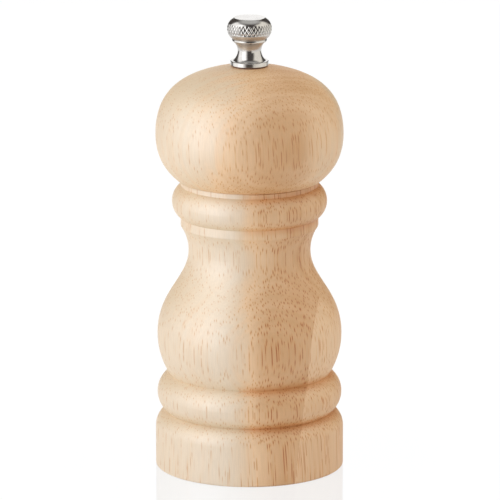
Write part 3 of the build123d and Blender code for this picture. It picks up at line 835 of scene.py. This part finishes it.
def nut_outline():
    """The nut's outline, from the bore's lower edge up the outside and back down the bore."""
    yield from [(BORE, NUT_FOOT), (FLANGE_RADIUS - EDGE, NUT_FOOT), (FLANGE_RADIUS, NUT_FOOT + EDGE)]
    yield from [(FLANGE_RADIUS, FLANGE_TOP - EDGE), (FLANGE_RADIUS - EDGE, FLANGE_TOP)]
    waist_foot, waist_top = (WAIST_FOOT_RADIUS, FLANGE_TOP), (WAIST_TOP_RADIUS, WAIST_TOP)
    yield from arc(waist_foot, (WAIST_RADIUS, WAIST_MIDDLE), waist_top, 22)
    heights = (WAIST_TOP, (WAIST_TOP + RIM_TOP) / 2, RIM_TOP)
    yield from arc(*zip(RIM_RADII, heights), 8)
    heights = (RIM_TOP + BALL_GAP, BALL_MIDDLE, NUT_TOP - EDGE)
    yield from arc(*zip(BALL_RADII, heights), 56)
    yield from [(BALL_RADII[2] - EDGE, NUT_TOP), (DISC_RADIUS, NUT_TOP), (0, NUT_TOP)]
    yield from [(0, BORE_END), (BORE, BORE_END)]


print(f"nut {NUT_TOP - NUT_FOOT:.1f} mm tall, outline of {len(list(nut_outline()))} points")

# %% Knurl
KNURL_DIAMONDS = 36
KNURL_LOW = BALL_MIDDLE - 1.55
KNURL_HIGH = BALL_MIDDLE + 1.75
KNURL_DEPTH = 0.19
KNURL_SLANT = 2.0
KNURL_FADE = 0.35
KNURL_SHARPNESS = 1.3
GREASE_AND_SHADE_EDGE = (0.36, 0.5)
GREASE_AND_SHADE_SHARE = 0.85
GREASE_AND_SHADE_FADE = 0.1


def knurl(angle, z):
    """How far the knurl lowers the nut here, in millimetres."""
    fade = min(z - KNURL_LOW, KNURL_HIGH - z) / KNURL_FADE
    if fade <= 0:
        return 0.0
    across = angle * KNURL_DIAMONDS / math.tau
    along = (z - KNURL_LOW) / KNURL_SLANT
    grooves = [abs((across + side * along) % 1.0 - 0.5) * 2 for side in (-1, 1)]
    return KNURL_DEPTH * max(grooves) ** KNURL_SHARPNESS * min(1.0, fade)


def knurl_grooves(tree):
    """A mask of the knurl's grooves, by the same sums as the mesh, darkened by grease and painted shade."""
    parts = split(tree, add(tree, "ShaderNodeTexCoord").outputs["Object"])
    angle = calc(tree, "ARCTAN2", parts["Y"], parts["X"])
    across = calc(tree, "MULTIPLY", angle, KNURL_DIAMONDS / math.tau)
    up = calc(tree, "SUBTRACT", parts["Z"], KNURL_LOW * MM)
    along = calc(tree, "DIVIDE", up, KNURL_SLANT * MM)
    deepest = 0.0
    for side in ("SUBTRACT", "ADD"):
        lane = calc(tree, "FRACT", calc(tree, side, across, along))
        lane = calc(tree, "ABSOLUTE", calc(tree, "SUBTRACT", lane, 0.5))
        deepest = calc(tree, "MAXIMUM", deepest, lane)
    band = (KNURL_HIGH - KNURL_LOW) * MM
    inside = soft_step(tree, up, 0.0, GREASE_AND_SHADE_FADE * band)
    inside = calc(tree, "MULTIPLY", inside, soft_step(tree, up, band, (1 - GREASE_AND_SHADE_FADE) * band))
    return calc(tree, "MULTIPLY", soft_step(tree, deepest, *GREASE_AND_SHADE_EDGE, 0.0, GREASE_AND_SHADE_SHARE), inside)


print(f"knurl of {KNURL_DIAMONDS} diamonds, {KNURL_DEPTH} mm deep")

# %% Knurled nut
NUT_COLUMNS = KNURL_DIAMONDS * 10

made = bmesh.new()
rings = []
for radius, z in nut_outline():
    if radius == 0:
        rings.append([made.verts.new((0, 0, z * MM))] * NUT_COLUMNS)
        continue
    angles = [math.tau * column / NUT_COLUMNS for column in range(NUT_COLUMNS)]
    rings.append([made.verts.new(polar(radius - knurl(angle, z), angle, z)) for angle in angles])
skin(made, rings, closed=True)
nut = finished("knurled_nut", made)
nickel = metal("bright_nickel", rgb(0.62, 0.602, 0.58), rgb(0.53, 0.513, 0.493), (0.13, 0.22),
               depth=0.0015, grooves=knurl_grooves, under=0.25)
nut.data.materials.append(nickel)
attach(nut, "adjuster")
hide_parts("adjusting_nut")
flag.objects.link(nut)
flag.collection_objects[0].light_linking.link_state = "EXCLUDE"

# %% [markdown]
# The spindle is a square bar, threaded at both ends: for the nut on top and for the small nut under
# the cone. A thread is the same outline at every turn, moved along by its pitch, so its radius at any
# point follows from the height and the angle. The bar's corners are broken, as drawn bar has them.

# %% Thread and bar
THREAD_DEPTH = 0.54
THREAD_FLAT = 0.12
THREAD_TIP = 0.5
THREAD_COLUMNS = 48
ROWS_PER_TURN = 12


def threaded(made, low, high, radius, pitch):
    """Adds a right-hand thread between two heights, with bevelled ends."""
    count = round((high - low) / pitch * ROWS_PER_TURN)
    rings = []
    for row in range(count + 1):
        z = low + (high - low) * row / count
        tip = min(z - low, high - z, THREAD_TIP)
        ring = []
        for column in range(THREAD_COLUMNS):
            turn = column / THREAD_COLUMNS
            wave = abs((z / pitch - turn) % 1.0 - 0.5) * 2
            share = (wave - THREAD_FLAT) / (1 - 2 * THREAD_FLAT)
            here = radius - THREAD_DEPTH * pitch * min(1.0, max(0.0, share))
            here = min(here, radius - THREAD_TIP + tip)
            ring.append(made.verts.new(polar(here, math.tau * turn, z)))
        rings.append(ring)
    skin(made, rings)


def square_bar(made, low, high, half, corner):
    """Adds a square bar with broken corners and slightly bevelled ends."""
    near = half - corner
    shape = [(half, near), (near, half), (-near, half), (-half, near),
             (-half, -near), (-near, -half), (near, -half), (half, -near)]
    ends = ((low, 1 - corner), (low + corner * 3, 1), (high - corner * 3, 1), (high, 1 - corner))
    rings = []
    for z, size in ends:
        rings.append([made.verts.new((x * size * MM, y * size * MM, z * MM)) for x, y in shape])
    skin(made, rings)


# %% Threaded spindle
bar_low, bar_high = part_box("spindle")
SPINDLE_FOOT = bar_low.z / MM
SPINDLE_TOP = bar_high.z / MM
BAR_HALF = bar_high.x / MM
BAR_FROM = SPINDLE_FOOT + 6.7
BAR_TO = SPINDLE_TOP - 22.0
CORNER_BREAK = 0.12
RUN_IN = 0.4
TOP_SCREW = (2.5, 0.8)
FOOT_SCREW = (2.0, 0.7)

made = bmesh.new()
square_bar(made, BAR_FROM, BAR_TO, BAR_HALF, CORNER_BREAK)
threaded(made, BAR_TO - RUN_IN, SPINDLE_TOP, *TOP_SCREW)
threaded(made, SPINDLE_FOOT, BAR_FROM + RUN_IN, *FOOT_SCREW)
spindle = finished("threaded_spindle", made, sharp=30)
spindle.data.materials.append(bar)
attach(spindle, "grinder")
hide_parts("spindle")

# %% [markdown]
# The spring pushes the grinding cone down against the nut's pull. Its wire follows a helix whose end
# turns lie flat, as on any compression spring, so the rise per turn is slow at both ends and steady
# between. It joins two bodies that slide against each other.

# %% Coil spring
coil_low, coil_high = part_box("spring")
WIRE = 0.45
COIL_TURNS = 6.0
COIL_RADIUS = coil_high.x / MM - WIRE
CLOSED_TURN = 0.75
COIL_STEPS = 288
WIRE_SIDES = 12


def coil_rise(turns):
    """How far up the coil the wire is after so many turns, from 0 to 1, flat near both ends."""
    span = COIL_TURNS - CLOSED_TURN
    if turns < CLOSED_TURN:
        return turns * turns / (2 * CLOSED_TURN) / span
    if turns > span:
        left = COIL_TURNS - turns
        return 1 - left * left / (2 * CLOSED_TURN) / span
    return (turns - CLOSED_TURN / 2) / span


def coil(made):
    """Adds the wire as a round tube along the helix, closed at both ends."""
    low = coil_low.z / MM + WIRE
    reach = (coil_high.z - coil_low.z) / MM - 2 * WIRE
    rings = []
    for step in range(COIL_STEPS + 1):
        turns = COIL_TURNS * step / COIL_STEPS
        out = Vector((math.cos(math.tau * turns), math.sin(math.tau * turns), 0))
        centre = out * COIL_RADIUS + Vector((0, 0, low + reach * coil_rise(turns)))
        ring = []
        for side in range(WIRE_SIDES):
            turn = math.tau * side / WIRE_SIDES
            point = centre + out * WIRE * math.cos(turn) + Vector((0, 0, WIRE * math.sin(turn)))
            ring.append(made.verts.new(point * MM))
        rings.append(ring)
    skin(made, rings)


made = bmesh.new()
coil(made)
spring = finished("coil_spring", made)
spring.data.materials.append(drawn)
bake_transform(spring)
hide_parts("spring")

# %% [markdown]
# The looks must not change the mill's size.

# %% Finish
print("finished")
